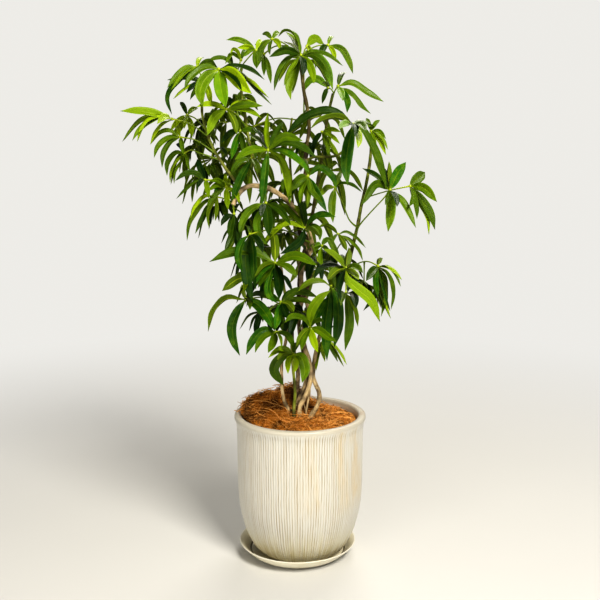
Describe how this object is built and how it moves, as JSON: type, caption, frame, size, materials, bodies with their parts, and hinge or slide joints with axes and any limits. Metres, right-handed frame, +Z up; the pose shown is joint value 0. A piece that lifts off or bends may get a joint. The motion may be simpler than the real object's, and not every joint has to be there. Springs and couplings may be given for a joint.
{
  "type": "potted umbrella plant",
  "caption": "Narrow-leaved umbrella plant with twisted stems in a ribbed glazed pot with coir mulch, standing in a flared saucer.",
  "frame": {"origin": "centre of the saucer's underside, where it stands on the floor", "axes": "+Z up along the plant's height; the plant's front, which the picture shows, faces -Y; +X to the front's right"},
  "size_m": [0.5622, 0.4435, 0.9896],
  "materials": {
    "saucer_glaze": "gloss",
    "pot_glaze": "satin",
    "soil": "matte",
    "coir": "matte",
    "bark": "matte",
    "green_stem": "satin",
    "leaf": "satin"
  },
  "bodies": {
    "root": {"saucer": "saucer_glaze", "pot": "pot_glaze", "potting_soil": "soil", "coir_mulch": "coir", "stem_main": "bark", "stem_twist": "bark", "stem_pale": "bark", "stem_green": "green_stem", "stem_brown": "bark", "stem_right": "bark", "branch_right": "bark", "branch_upper_left": "green_stem", "branch_far_left": "green_stem", "branch_back": "green_stem", "leaf_far_left": "leaf", "leaf_left_crown": "leaf", "leaf_left_crown_back": "leaf", "leaf_big_left": "leaf", "leaf_small_top_left": "leaf", "leaf_upper_left": "leaf", "leaf_crown_left": "leaf", "leaf_crown": "leaf", "leaf_crown_right": "leaf", "leaf_upper_right": "leaf", "leaf_left_upper": "leaf", "leaf_left_mid": "leaf", "leaf_left_dark": "leaf", "leaf_left_yellow": "leaf", "leaf_star": "leaf", "leaf_left_inner": "leaf", "leaf_left_centre": "leaf", "leaf_left_low_inner": "leaf", "leaf_right_high": "leaf", "leaf_right_small": "leaf", "leaf_right_inner": "leaf", "leaf_centre": "leaf", "leaf_centre_right": "leaf", "leaf_right_big": "leaf", "leaf_right_outer": "leaf", "leaf_right_low_front": "leaf", "leaf_right_low": "leaf", "leaf_right_mid_small": "leaf", "leaf_small_star": "leaf", "leaf_fan_centre": "leaf", "leaf_left_hanging": "leaf", "leaf_left_low_front": "leaf", "leaf_low_left": "leaf", "leaf_low_front": "leaf", "leaf_low_centre": "leaf", "leaf_low_right": "leaf", "leaf_low_right_hanging": "leaf", "leaf_left_drooping": "leaf", "leaf_left_dark_low": "leaf", "leaf_centre_low": "leaf", "leaf_base": "leaf", "leaf_low_right_back": "leaf", "shoot_back_high": "leaf", "shoot_back_middle": "leaf", "shoot_back_low": "leaf", "shoot_back_left": "leaf"}
  },
  "joints": []
}
